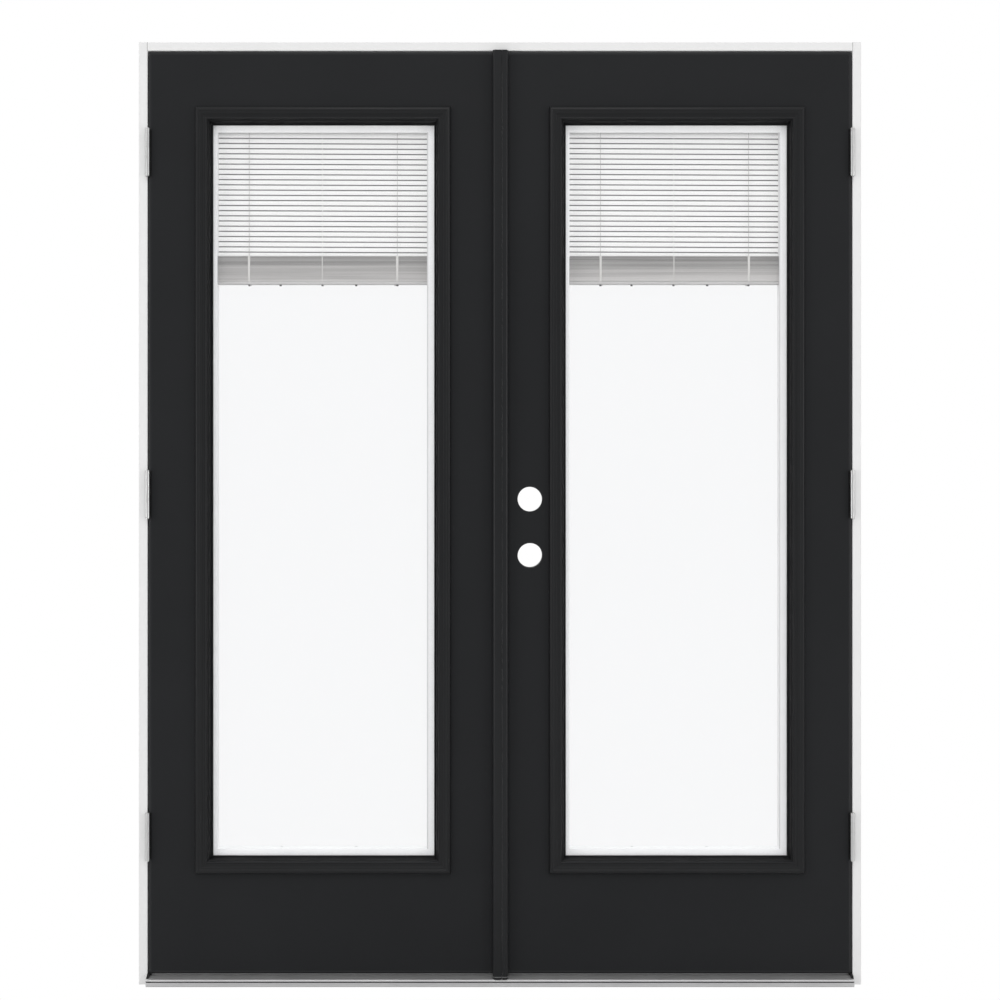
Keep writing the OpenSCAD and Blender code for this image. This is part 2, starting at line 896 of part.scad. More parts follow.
module blind_slats(side) {
    color(WHITE)
        in_lite(side)
            for (k = [0:slat_count - 1])
                translate([0, mid_y, lite_top - headrail_h - (k + 0.5) * slat_pitch])
                    along_x(slat_x0, slat_x1)
                        rotate(slat_tilt)
                            slat_profile();
}

module blind_ladders(side) {
    color(WHITE)
        in_lite(side)
            for (x = ladder_places, face = [-1, 1])
                translate([slat_mid_x + x, mid_y + face * ladder_y, stack_top + ladder_fit])
                    translate([-ladder_t / 2, -ladder_t / 2, 0])
                        cube([ladder_t, ladder_t, hang_h + stack_gap - ladder_fit]);
}

// The gathered slats, notched between folds
module blind_stack(side) {
    outer = slat_w / 2;
    inner = outer - fold_notch;
    left_edge = [
        for (k = [0:stack_folds - 1], step = [0, 1, 2, 3])
            [
                step % 3 == 0 ? -inner : -outer,
                rail_top + (k + step / 4 + 0.125) * fold_pitch
            ]
    ];
    right_edge = [for (k = [len(left_edge) - 1:-1:0]) [-left_edge[k][0], left_edge[k][1]]];
    color(WHITE)
        in_lite(side)
            along_x(slat_x0, slat_x1)
                translate([mid_y, 0])
                    polygon(concat(
                        [[-inner, rail_top]], left_edge, [[-inner, stack_top], [inner, stack_top]],
                        right_edge, [[inner, rail_top]]
                    ));
}

module blind_bottom_rail(side) {
    color(WHITE)
        in_lite(side) {
            along_x(slat_x0, slat_x1)
                translate([mid_y, rail_top - rail_h])
                    polygon([
                        [-rail_d / 2 + rail_bevel, 0], [rail_d / 2 - rail_bevel, 0],
                        [rail_d / 2, rail_bevel], [rail_d / 2, rail_h],
                        [-rail_d / 2, rail_h], [-rail_d / 2, rail_bevel],
                    ]);
            for (x = plug_places)
                translate([slat_mid_x + x, mid_y, rail_top - rail_h - plug_h])
                    cylinder(r = plug_r, h = plug_h);
        }
}

module lift_track(side) {
    color(WHITE)
        in_lite(side) {
            box([track_x0, track_x1], [glass_y1, glass_y1 + track_t], [-lite_top, lite_top]);
            box(
                [track_mid_x - track_rail_w / 2, track_mid_x + track_rail_w / 2],
                [glass_y1 + track_t, glass_y1 + track_t + track_rail_h],
                [-lite_top, lite_top]
            );
        }
}

module lift_slider(side) {
    half = slider_w / 2;
    y0 = glass_y1 + track_t + slider_fit;
    y1 = glass_y1 + track_t + track_rail_h + slider_fit + slider_cover;
    color(WHITE)
        in_lite(side)
            translate([track_mid_x, 0, slider_z])
                difference() {
                    along_z(-slider_h / 2, slider_h / 2)
                        polygon([
                            [-half, y0], [half, y0], [half, y1 - slider_bevel],
                            [half - slider_bevel, y1], [-half + slider_bevel, y1], [-half, y1 - slider_bevel],
                        ]);
                    box(
                        [-track_rail_w / 2 - slider_fit, track_rail_w / 2 + slider_fit],
                        [y0 - past, y0 + track_rail_h],
                        [-slider_h / 2 - past, slider_h / 2 + past]
                    );
                }
}

// The astragal's full section: a flat front with round shoulders, on the leaves' faces
module astragal_profile() {
    half = astragal_w / 2;
    flat = half - astragal_round;
    deep = astragal_out - astragal_round;
    translate([astragal_shift, 0]) {
        translate([-half, -deep])
            square([2 * half, deep]);
        translate([-flat, -astragal_out])
            square([2 * flat, astragal_out]);
        for (end = [-1, 1])
            translate([end * flat, -deep])
                circle(astragal_round);
    }
}

// What lies on one side of the seam
module side_of_seam(side) {
    far = 2 * astragal_w;
    intersection() {
        astragal_profile();
        translate([side == LEFT ? seam_x - seam_w / 2 - far : seam_x + seam_w / 2, -2 * astragal_out])
            square([far, 2 * astragal_out]);
    }
}

module astragal(side) {
    color(BLACK) {
        along_z(leaf_z0 - astragal_drop, leaf_z1)
            side_of_seam(side);
        if (side == LEFT)
            box([-leaf_x0, -leaf_x0 + edge_flange_t], [0, edge_flange_d], [leaf_z0, leaf_z1]);
    }
}

module bottom_sweep(side) {
    y0 = mid_y - sweep_w / 2;
    step = (sweep_w - sweep_t) / (sweep_fins - 1);
    color(RUBBER)
        difference() {
            on_side(side) {
                box([leaf_x0, leaf_x1 - sweep_end], [y0, y0 + sweep_w], [leaf_z0 - sweep_t, leaf_z0]);
                for (k = [0:sweep_fins - 1])
                    box(
                        [leaf_x0, leaf_x1 - sweep_end],
                        [y0 + k * step, y0 + k * step + sweep_t],
                        [deck_h + seal_fit, leaf_z0]
                    );
            }
            if (side == LEFT)
                strike_slot(0, leaf_z0 + past);
        }
}

// A flush bolt at the top of the leaf, measured from the leaf's middle height
module flush_bolt() {
    shank = bolt_len - bolt_sunk - bolt_tip;
    translate([bolt_x, mid_y, 0]) {
        translate([0, 0, leaf_half - bolt_len])
            cylinder(r = bolt_r, h = shank);
        translate([0, 0, leaf_half - bolt_len + shank])
            cylinder(r1 = bolt_r, r2 = bolt_r - bolt_tip, h = bolt_tip);
        box([0, bolt_in - bolt_sunk], [-tab_w / 2, tab_w / 2], [tab_z, tab_z + tab_h]);
    }
}

module top_flush_bolt() {
    color(NICKEL)
        translate([0, 0, leaf_mid_z])
            flush_bolt();
}

module bottom_flush_bolt() {
    color(NICKEL)
        translate([0, 0, leaf_mid_z])
            mirror([0, 0, 1])
                flush_bolt();
}

side_jamb(LEFT);  // left_jamb
side_jamb(RIGHT);  // right_jamb
head_jamb();
door_stops();
sill_base();
sill_deck();
sill_riser();
sill_riser_seal();
weatherstrips();
sill_corner_pads();
frame_hinge_leaves(LEFT);  // left_frame_hinge_leaves
frame_hinge_leaves(RIGHT);  // right_frame_hinge_leaves
hinge_pins(LEFT);  // left_hinge_pins
hinge_pins(RIGHT);  // right_hinge_pins
exterior_skin(LEFT);  // left_exterior_skin
interior_skin(LEFT);  // left_interior_skin
hinge_stile(LEFT);  // left_hinge_stile
lock_stile(LEFT);  // left_lock_stile
top_rail(LEFT);  // left_top_rail
bottom_rail(LEFT);  // left_bottom_rail
foam_core(LEFT);  // left_foam_core
lite_frame_exterior(LEFT);  // left_lite_frame_exterior
lite_frame_interior(LEFT);  // left_lite_frame_interior
glass_exterior(LEFT);  // left_glass_exterior
glass_interior(LEFT);  // left_glass_interior
glass_spacer(LEFT);  // left_glass_spacer
blind_headrail(LEFT);  // left_blind_headrail
blind_slats(LEFT);  // left_blind_slats
blind_ladders(LEFT);  // left_blind_ladders
blind_stack(LEFT);  // left_blind_stack
blind_bottom_rail(LEFT);  // left_blind_bottom_rail
lift_track(LEFT);  // left_lift_track
lift_slider(LEFT);  // left_lift_slider
door_hinge_leaves(LEFT);  // left_door_hinge_leaves
astragal(LEFT);  // left_astragal
bottom_sweep(LEFT);  // left_bottom_sweep
top_flush_bolt();
bottom_flush_bolt();
exterior_skin(RIGHT);  // right_exterior_skin
interior_skin(RIGHT);  // right_interior_skin
hinge_stile(RIGHT);  // right_hinge_stile
lock_stile(RIGHT);  // right_lock_stile
top_rail(RIGHT);  // right_top_rail
bottom_rail(RIGHT);  // right_bottom_rail
foam_core(RIGHT);  // right_foam_core
lite_frame_exterior(RIGHT);  // right_lite_frame_exterior
lite_frame_interior(RIGHT);  // right_lite_frame_interior
glass_exterior(RIGHT);  // right_glass_exterior
glass_interior(RIGHT);  // right_glass_interior
glass_spacer(RIGHT);  // right_glass_spacer
blind_headrail(RIGHT);  // right_blind_headrail
blind_slats(RIGHT);  // right_blind_slats
blind_ladders(RIGHT);  // right_blind_ladders
blind_stack(RIGHT);  // right_blind_stack
blind_bottom_rail(RIGHT);  // right_blind_bottom_rail
lift_track(RIGHT);  // right_lift_track
lift_slider(RIGHT);  // right_lift_slider
door_hinge_leaves(RIGHT);  // right_door_hinge_leaves
astragal(RIGHT);  // right_astragal
bottom_sweep(RIGHT);  // right_bottom_sweep
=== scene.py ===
"""French doors: an outswing pair with blinds sealed in the glass, lit as in a studio."""
import json
import math

import bmesh
import bpy
from mathutils import Matrix, Vector


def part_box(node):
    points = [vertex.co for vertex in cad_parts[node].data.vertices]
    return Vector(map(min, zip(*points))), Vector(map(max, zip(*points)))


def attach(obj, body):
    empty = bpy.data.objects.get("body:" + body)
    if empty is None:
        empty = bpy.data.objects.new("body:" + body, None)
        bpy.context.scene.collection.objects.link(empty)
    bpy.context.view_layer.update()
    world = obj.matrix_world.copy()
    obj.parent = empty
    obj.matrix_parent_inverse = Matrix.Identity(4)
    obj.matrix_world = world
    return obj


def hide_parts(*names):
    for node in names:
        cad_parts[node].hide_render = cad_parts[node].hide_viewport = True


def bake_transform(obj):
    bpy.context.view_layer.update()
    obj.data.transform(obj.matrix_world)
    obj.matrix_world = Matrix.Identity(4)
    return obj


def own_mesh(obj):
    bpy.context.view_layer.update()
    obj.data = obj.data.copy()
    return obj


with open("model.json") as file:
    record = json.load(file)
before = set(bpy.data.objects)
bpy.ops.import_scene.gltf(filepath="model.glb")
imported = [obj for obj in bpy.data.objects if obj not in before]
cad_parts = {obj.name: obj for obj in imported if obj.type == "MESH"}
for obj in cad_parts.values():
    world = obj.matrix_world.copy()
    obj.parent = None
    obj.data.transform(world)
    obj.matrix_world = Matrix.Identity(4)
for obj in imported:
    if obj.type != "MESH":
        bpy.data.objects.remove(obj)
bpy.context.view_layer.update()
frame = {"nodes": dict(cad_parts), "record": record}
MM = 0.001
SIDES = {"left": -1, "right": 1}


# Materials

NOISE_RANGE, GLOSS_SPREAD = (0.3, 0.7), 0.06
GLASS_TINT, GLASS_ALPHA, GLASS_IOR = (0.40, 0.43, 0.50, 1), 0.03, 1.5
GLASS_SMEAR, GLASS_GLOSS = 6.0, (0.02, 0.05)
STACK_GRAIN, STACK_STREAK, STACK_ROUGH = (0.9, 0.9, 170.0), 0.95, 0.5
# STACK_CURVE and STACK_FALL paint shade that darkens the stack towards its top, STACK_GAP and
# STACK_GAP_SHADE paint a shadow line just above the rail, and STACK_LIGHT and STACK_DARK are the
# white slats' edges greyed by painted shade.
STACK_CURVE, STACK_FALL, STACK_BUMP = 0.8, 0.45, (0.3, 0.0004)
STACK_GAP, STACK_GAP_SHADE = (1.0 * MM, 2.2 * MM), 0.3
STACK_LIGHT, STACK_DARK, STACK_SPAN = (0.65, 0.636, 0.626), (0.29, 0.284, 0.276), (0.46, 1.0)
SLAT_TONE = "tone"
# SLAT_SHADED is painted shade under the slat above; SLAT_OPEN is the slats' own enamel.
SLAT_SHADED, SLAT_OPEN = (0.07, 0.069, 0.067), (0.86, 0.855, 0.85)
SLAT_STRETCH, SLAT_GRAIN = (0.1, 1, 1), 240.0
SLAT_GLOSS, SLAT_BUMP = (0.36, 0.46), (0.04, 0.0002)
LEAF_BLACK = (0.0126, 0.0132, 0.0143)


def new_material(name):
    """A material with its node tree, its Principled shader and object coordinates."""
    mat = bpy.data.materials.new(name)
    mat.use_nodes = True
    tree = mat.node_tree
    shader = tree.nodes["Principled BSDF"]
    coords = tree.nodes.new("ShaderNodeTexCoord")
    return mat, tree, shader, coords.outputs["Object"]


def stretched(tree, vector, scale):
    """Coordinates scaled per axis, for grain that runs one way."""
    mapping = tree.nodes.new("ShaderNodeMapping")
    mapping.inputs["Scale"].default_value = scale
    tree.links.new(vector, mapping.inputs["Vector"])
    return mapping.outputs["Vector"]


def noise(tree, vector, scale, detail=3.0, roughness=0.55):
    """A noise texture's factor."""
    node = tree.nodes.new("ShaderNodeTexNoise")
    node.inputs["Scale"].default_value = scale
    node.inputs["Detail"].default_value = detail
    node.inputs["Roughness"].default_value = roughness
    tree.links.new(vector, node.inputs["Vector"])
    return node.outputs["Fac"]


def height_of(tree, vector):
    """The Z of a vector."""
    split = tree.nodes.new("ShaderNodeSeparateXYZ")
    tree.links.new(vector, split.inputs["Vector"])
    return split.outputs["Z"]


def ramp(tree, factor, low, high, span=NOISE_RANGE):
    """Two colours blended by a factor over a span of its values."""
    node = tree.nodes.new("ShaderNodeValToRGB")
    first, last = node.color_ramp.elements
    first.position, last.position = span
    first.color, last.color = (*low, 1), (*high, 1)
    tree.links.new(factor, node.inputs["Fac"])
    return node.outputs["Color"]


def mapped(tree, value, source, target):
    """A value mapped from one range to another and held within it."""
    node = tree.nodes.new("ShaderNodeMapRange")
    for name, number in zip(("From Min", "From Max", "To Min", "To Max"), (*source, *target)):
        node.inputs[name].default_value = number
    tree.links.new(value, node.inputs["Value"])
    return node.outputs["Result"]


def combined(tree, operation, *values):
    """Sockets and numbers put through one operation."""
    node = tree.nodes.new("ShaderNodeMath")
    node.operation = operation
    for place, value in zip(node.inputs, values):
        if isinstance(value, bpy.types.NodeSocket):
            tree.links.new(value, place)
        else:
            place.default_value = value
    return node.outputs["Value"]


def bump(tree, height, strength, distance):
    """A bump's normal from a height."""
    node = tree.nodes.new("ShaderNodeBump")
    node.inputs["Strength"].default_value = strength
    node.inputs["Distance"].default_value = distance
    tree.links.new(height, node.inputs["Height"])
    return node.outputs["Normal"]


def shade(colour, factor):
    """A colour made lighter or darker."""
    return tuple(c * factor for c in colour)


def finish(name, colour, rough, vary=0.06, patch=9.0, grain=600.0, lift=0.08, depth=0.0002,
           stretch=(1, 1, 1), metallic=0.0, specular=0.5):
    """A surface with slow colour patches, fine bump and uneven gloss."""
    mat, tree, shader, coords = new_material(name)
    slow = noise(tree, coords, patch)
    fine = noise(tree, stretched(tree, coords, stretch), grain, detail=2.0)
    patches = ramp(tree, slow, shade(colour, 1 - vary), shade(colour, 1 + vary))
    gloss = mapped(tree, fine, NOISE_RANGE, (rough - GLOSS_SPREAD, rough + GLOSS_SPREAD))
    tree.links.new(patches, shader.inputs["Base Color"])
    tree.links.new(gloss, shader.inputs["Roughness"])
    tree.links.new(bump(tree, fine, lift, depth), shader.inputs["Normal"])
    shader.inputs["Metallic"].default_value = metallic
    shader.inputs["Specular IOR Level"].default_value = specular
    return mat


def glass_finish(name):
    """A clear pane with a faint cool tint and the slightest unevenness in its gloss."""
    mat, tree, shader, coords = new_material(name)
    gloss = mapped(tree, noise(tree, coords, GLASS_SMEAR), NOISE_RANGE, GLASS_GLOSS)
    tree.links.new(gloss, shader.inputs["Roughness"])
    shader.inputs["Base Color"].default_value = GLASS_TINT
    shader.inputs["Alpha"].default_value = GLASS_ALPHA
    shader.inputs["IOR"].default_value = GLASS_IOR
    return mat


def stack_finish(name, low_z, high_z):
    """The edges of gathered slats: fine level lines, with painted shade that darkens them towards
    the top and a painted shadow line at the foot.
    """
    mat, tree, shader, coords = new_material(name)
    height = height_of(tree, coords)
    rise = mapped(tree, height, (low_z, high_z), (0.0, 1.0))
    # Painted shade, darker towards the top of the stack.
    fall = combined(tree, "MULTIPLY", combined(tree, "POWER", rise, STACK_CURVE), STACK_FALL)
    # Painted shadow just above the rail.
    foot = (low_z + STACK_GAP[0], low_z + STACK_GAP[1])
    gap = mapped(tree, height, foot, (STACK_GAP_SHADE, 0.0))
    lines = noise(tree, stretched(tree, coords, STACK_GRAIN), 1.0, detail=3.0, roughness=0.7)
    tone = combined(tree, "MULTIPLY_ADD", lines, STACK_STREAK, fall)
    colour = ramp(tree, combined(tree, "ADD", tone, gap), STACK_LIGHT, STACK_DARK, STACK_SPAN)
    tree.links.new(colour, shader.inputs["Base Color"])
    tree.links.new(bump(tree, lines, *STACK_BUMP), shader.inputs["Normal"])
    shader.inputs["Roughness"].default_value = STACK_ROUGH
    return mat


def slat_finish(name):
    """Enamelled slats, with painted shade along the edge that lies under the next slat."""
    mat, tree, shader, coords = new_material(name)
    tone = tree.nodes.new("ShaderNodeAttribute")
    tone.attribute_name = SLAT_TONE
    fine = noise(tree, stretched(tree, coords, SLAT_STRETCH), SLAT_GRAIN, detail=2.0)
    colour = ramp(tree, tone.outputs["Fac"], SLAT_SHADED, SLAT_OPEN, (0.0, 1.0))
    gloss = mapped(tree, fine, NOISE_RANGE, SLAT_GLOSS)
    tree.links.new(colour, shader.inputs["Base Color"])
    tree.links.new(gloss, shader.inputs["Roughness"])
    tree.links.new(bump(tree, fine, *SLAT_BUMP), shader.inputs["Normal"])
    return mat


MATERIALS = {
    "frame_white": finish("frame_white", (0.70, 0.70, 0.699), 0.45, vary=0.012, grain=500.0,
                          lift=0.05),
    "leaf_black": finish("leaf_black", LEAF_BLACK, 0.46, vary=0.05, patch=5.0, grain=700.0,
                         lift=0.06, specular=0.12),
    "leaf_edge": finish("leaf_edge", (0.0118, 0.0122, 0.013), 0.55, vary=0.08, grain=160.0,
                        lift=0.12, stretch=(9, 9, 1), specular=0.15),
    "foam": finish("foam", (0.74, 0.66, 0.36), 0.85, vary=0.08, grain=350.0, lift=0.5,
                   depth=0.0008),
    "moulding_black": finish("moulding_black", shade(LEAF_BLACK, 0.72), 0.34, vary=0.05,
                             grain=800.0, lift=0.05, specular=0.2),
    "astragal_black": finish("astragal_black", shade(LEAF_BLACK, 0.82), 0.33, vary=0.05,
                             grain=800.0, lift=0.05, specular=0.2),
    "glass": glass_finish("glass"),
    "spacer_white": finish("spacer_white", (0.955, 0.96, 0.965), 0.4, vary=0.01, lift=0.04),
    "blind_white": finish("blind_white", (0.97, 0.97, 0.97), 0.4, vary=0.012, grain=240.0,
                          lift=0.04, stretch=(0.1, 1, 1)),
    "ladder_white": finish("ladder_white", (0.80, 0.79, 0.77), 0.8, vary=0.04, grain=1500.0,
                           lift=0.3),
    "track_white": finish("track_white", (0.80, 0.80, 0.79), 0.42, vary=0.012, lift=0.05),
    "hinge_nickel": finish("hinge_nickel", (0.55, 0.55, 0.548), 0.36, vary=0.03, grain=900.0,
                           lift=0.08, stretch=(1, 1, 0.08), metallic=1.0),
    "sill_aluminium": finish("sill_aluminium", (0.61, 0.61, 0.613), 0.38, vary=0.04, grain=500.0,
                             lift=0.12, stretch=(0.03, 1, 1), metallic=0.85),
    "seal_black": finish("seal_black", (0.011, 0.011, 0.0115), 0.72, vary=0.1, grain=900.0,
                         lift=0.15, specular=0.25),
}
SCREW_STEEL = finish("screw_steel", (0.55, 0.545, 0.53), 0.3, vary=0.05, grain=1200.0, lift=0.1,
                     metallic=1.0)
# Painted shade: near-black for the shade inside the screws' cross slots.
SLOT_SHADE_DARK = finish("slot_painted_shade", (0.02, 0.02, 0.02), 0.7, vary=0.1)
# Black rubber for the glazing beads, and also the dark of painted shadow in the sill's groove and
# beside the hinges.
GASKET_AND_SHADE_BLACK = finish("gasket_and_shade_black", (0.0045, 0.0045, 0.005), 0.6, vary=0.1, grain=900.0,
                      specular=0.12)
# Painted shade: a black darker than the moulding, for its throats and the leaves' lower edges.
PAINTED_SHADE_BLACK = finish("painted_shade_black", (0.0072, 0.0074, 0.008), 0.45, vary=0.08, grain=900.0,
                      specular=0.14)
# Leaf black made lighter: a painted highlight on the hem's rounded edge, which also catches real
# light.
HEM_HIGHLIGHT_BLACK = finish("hem_highlight_black", shade(LEAF_BLACK, 1.15), 0.36, vary=0.05, grain=800.0, lift=0.05,
                   specular=0.25)
TAPE_WHITE = finish("tape_white", (0.60, 0.59, 0.575), 0.8, vary=0.05, grain=1500.0, lift=0.3)
PLUG_GREY = finish("plug_grey", (0.085, 0.08, 0.075), 0.5, vary=0.05)
SLAT_WHITE = slat_finish("slat_white")
CORD_WHITE = finish("cord_white", (0.84, 0.835, 0.825), 0.8, vary=0.04, grain=1500.0, lift=0.3)
CORD_GREY = finish("cord_grey", (0.40, 0.39, 0.38), 0.8, vary=0.06, grain=1500.0, lift=0.3)
RAIL_GREY = finish("rail_grey", (0.53, 0.522, 0.516), 0.45, vary=0.05, grain=900.0, lift=0.1,
                   stretch=(0.05, 1, 1))
VINYL_GREY = finish("vinyl_grey", (0.20, 0.20, 0.202), 0.6, vary=0.06, grain=700.0, lift=0.1,
                    stretch=(0.05, 1, 1))
# Grey for a painted shade line down the spacer's edge, and for the real catches on the bottom
# spacer.
SHADE_LINE_AND_CATCH_GREY = finish("shade_line_and_catch_grey", (0.68, 0.68, 0.685), 0.5, vary=0.02, lift=0.05)
# Grey for the sealant in the head's joints, and for painted shade along the sill's foot.
SEALANT_AND_SHADE_GREY = finish("sealant", (0.30, 0.30, 0.295), 0.7, vary=0.05)

OWN_FINISH = {"bottom_sweep": VINYL_GREY, "blind_bottom_rail": RAIL_GREY}
for part in frame["record"]["subparts"]:
    data = frame["nodes"][part["node"]].data
    kind = part["node"].partition("_")[2]
    data.materials.clear()
    data.materials.append(OWN_FINISH.get(kind, MATERIALS[part["material_slot"]]))


# Meshes

SHARP_ANGLE, TURN_SIDES = math.radians(35), 24


def mm(points):
    """Points given in millimetres, in metres."""
    return [(a * MM, b * MM) for a, b in points]


class Shape:
    """Points in metres and faces, gathered for one piece."""

    def __init__(self):
        self.verts, self.faces = [], []

    def enclose(self, base, count):
        """Walls between two loops of points, and the faces that close both ends."""
        for k in range(count):
            n = (k + 1) % count
            self.faces.append((base + k, base + n, base + count + n, base + count + k))
        self.faces.append(tuple(range(base, base + count)))
        self.faces.append(tuple(range(base + 2 * count - 1, base + count - 1, -1)))
        return self

    def run_x(self, section, x0, x1, drop=0.0):
        """A closed section in Y and Z, run along X and a little downhill."""
        base = len(self.verts)
        for x, lift in ((x0, drop / 2), (x1, -drop / 2)):
            self.verts += [(x, y, z + lift) for y, z in section]
        return self.enclose(base, len(section))

    def run_z(self, section, z0, z1):
        """A closed section in X and Y, run along Z; z0 may differ from point to point."""
        base, count = len(self.verts), len(section)
        lows = z0 if isinstance(z0, list) else [z0] * count
        self.verts += [(x, y, low) for (x, y), low in zip(section, lows)]
        self.verts += [(x, y, z1) for x, y in section]
        return self.enclose(base, count)

    def box(self, low, high):
        """A box between two corners."""
        (x0, y0, z0), (x1, y1, z1) = low, high
        return self.run_x([(y0, z0), (y1, z0), (y1, z1), (y0, z1)], x0, x1)

    def turned(self, profile, matrix):
        """A profile of radius and height turned about Z, placed by a matrix and closed."""
        base, rows, sides = len(self.verts), len(profile), TURN_SIDES
        for radius, height in profile:
            for k in range(sides):
                a = 2 * math.pi * k / sides
                point = Vector((radius * math.cos(a), radius * math.sin(a), height))
                self.verts.append(tuple(matrix @ point))
        for r in range(rows - 1):
            for k in range(sides):
                n = (k + 1) % sides
                low, high = base + r * sides, base + (r + 1) * sides
                self.faces.append((low + k, low + n, high + n, high + k))
        self.faces.append(tuple(range(base + sides - 1, base - 1, -1)))
        self.faces.append(tuple(range(base + (rows - 1) * sides, base + rows * sides)))
        return self

    def ring(self, profile, centre, half_w, half_h):
        """A closed profile of Y and distance outwards, run round a rectangle with mitres."""
        base, count = len(self.verts), len(profile)
        for sx, sz in ((-1, -1), (1, -1), (1, 1), (-1, 1)):
            for y, out in profile:
                x, z = centre[0] + sx * (half_w + out), centre[1] + sz * (half_h + out)
                self.verts.append((x, y, z))
        for c in range(4):
            here, there = base + c * count, base + (c + 1) % 4 * count
            for k in range(count):
                n = (k + 1) % count
                self.faces.append((here + k, here + n, there + n, there + k))
        return self

    def make(self, name, material, slot, smooth=False):
        """The piece made of all that was gathered."""
        mesh = bpy.data.meshes.new(name)
        mesh.from_pydata(self.verts, [], self.faces)
        mesh.materials.append(material)
        build = bmesh.new()
        build.from_mesh(mesh)
        bmesh.ops.recalc_face_normals(build, faces=build.faces)
        build.to_mesh(mesh)
        build.free()
        if smooth:
            mesh.shade_smooth()
            mesh.set_sharp_from_angle(angle=SHARP_ANGLE)
        obj = bpy.data.objects.new(name, mesh)
        bpy.context.scene.collection.objects.link(obj)
        return obj


# Blinds

SLAT_W, SLAT_T, SLAT_BOW, SLAT_TILT = 12.4 * MM, 0.4 * MM, 1.2 * MM, math.radians(76)
SLAT_PITCH, SLAT_RISE, SLAT_DROP = 11.35 * MM, 1.65 * MM, 2.1 * MM
SLAT_COUNT, SLAT_GROUP, SLAT_STEPS = 24, 4, 8
# Tones across the top of each slat's outer face: painted shade under the slat above.
UPPER_EDGE_SHADE = [0.5, 0.03, 0.0]
PAID_GROUPS, PAID_PER_GROUP, PAID_TRAVEL = 19, 6, 1.23
FOLDS, FOLD_NOTCH, CROWN_RISE = 54, 0.5 * MM, 2.2 * MM
FOLD_SHAPE = ((0.04, FOLD_NOTCH), (0.2, 0), (0.75, 0), (0.9, FOLD_NOTCH))
CORD_W, CORD_REACH = 0.8 * MM, 3.8 * MM
LADDER_PLACES = (-161.3 * MM, -0.8 * MM, 163.4 * MM)
TAPE_WIDTHS = (5.0 * MM, 2.2 * MM, 5.4 * MM)
TAPE_PROUD, TAPE_SUNK, TAPE_SHORT = 0.5 * MM, 0.2 * MM, 0.3 * MM
PLUG_PLACES = (LADDER_PLACES[0], -93 * MM, LADDER_PLACES[1], 73 * MM, LADDER_PLACES[2])
PLUG_PROFILE = ((2.55, 2.55), (2.55, -0.1), (2.0, -0.5), (0.4, -0.5))


def slat_section(mid_y, mid_z, squeeze=1.0):
    """A tilted, curved slat in Y and Z; squeeze flattens it as it lies in the stack."""
    radius = (SLAT_W ** 2 / 4 + SLAT_BOW ** 2) / (2 * SLAT_BOW)
    across = [SLAT_W * (k / SLAT_STEPS - 0.5) for k in range(SLAT_STEPS + 1)]
    loop = []
    for r, places in ((radius, across), (radius - SLAT_T, across[::-1])):
        for u in places:
            v = math.sqrt(r * r - u * u) - radius + SLAT_BOW / 2
            y = u * math.cos(SLAT_TILT) - v * math.sin(SLAT_TILT)
            z = u * math.sin(SLAT_TILT) + v * math.cos(SLAT_TILT)
            loop.append((mid_y + y, mid_z + z * squeeze))
    return loop


def paint_shade_on_upper_edges(obj, bare=0):
    """Paints the shade that the slat above casts on the upper edge of each slat's outer face, save
    on bare slats.
    """
    face = [1.0] * (SLAT_STEPS + 1 - len(UPPER_EDGE_SHADE)) + UPPER_EDGE_SHADE
    pattern = face + [1.0] * (SLAT_STEPS + 1)
    unshaded = [1.0] * len(pattern) * 2 * bare
    marked = (len(obj.data.vertices) - len(unshaded)) // len(pattern)
    tone = obj.data.attributes.new(SLAT_TONE, "FLOAT", "POINT")
    tone.data.foreach_set("value", unshaded + pattern * marked)


def unsmooth(w):
    """The place along a blend at which its weight is w."""
    return 0.5 - math.sin(math.asin(1 - 2 * w) / 3)


def blend_between(obj):
    """Bakes the piece's placement into its mesh."""
    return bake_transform(obj)


def ladder_cords(mid_x, mid_y, z0, z1, places):
    """A cord on each face of the slats at every ladder place."""
    shape, half = Shape(), CORD_W / 2
    for place in places:
        for y in (mid_y - CORD_REACH, mid_y + CORD_REACH):
            x = mid_x + place
            shape.box((x - half, y - half, z0), (x + half, y + half, z1))
    return shape


def stack_outline(mid_y, bottom, crown):
    """The notched outline in Y and Z of slats that lie on one another."""
    half, step = SLAT_W / 2, (crown - bottom) / FOLDS
    front, back = [], []
    for k in range(FOLDS):
        z = bottom + k * step
        for share, deep in FOLD_SHAPE:
            front.append((mid_y - half + deep, z + share * step))
            back.append((mid_y + half - deep, z + share * step))
    return front + back[::-1]


def stack_tapes(mid_x, mid_y, bottom, crown):
    """The ladders' tapes folded up against both faces of the stack."""
    shape, half = Shape(), SLAT_W / 2
    for place, width in zip(LADDER_PLACES, TAPE_WIDTHS):
        x, out = mid_x + place, half + TAPE_PROUD
        for face in (-1, 1):
            y0, y1 = sorted((mid_y + face * (half - TAPE_SUNK), mid_y + face * out))
            shape.box((x - width / 2, y0, bottom + TAPE_SHORT),
                      (x + width / 2, y1, crown - TAPE_SHORT))
    return shape


def paid_slats(g, mid_y, z_a, group_h, x0, x1):
    """One group of the slats that are paid out, lying squeezed flat inside the stack."""
    t_a, t_b = unsmooth(g / PAID_GROUPS), unsmooth((g + 1) / PAID_GROUPS)
    length = group_h / (t_b - t_a)
    shape = Shape()
    for k in range(PAID_PER_GROUP):
        t = unsmooth((g + (k + 0.5) / PAID_PER_GROUP) / PAID_GROUPS)
        stretch = 1 + PAID_TRAVEL * 6 * t * (1 - t) / length
        shape.run_x(slat_section(mid_y, z_a - (t - t_a) * length, 1 / stretch), x0, x1)
    return shape


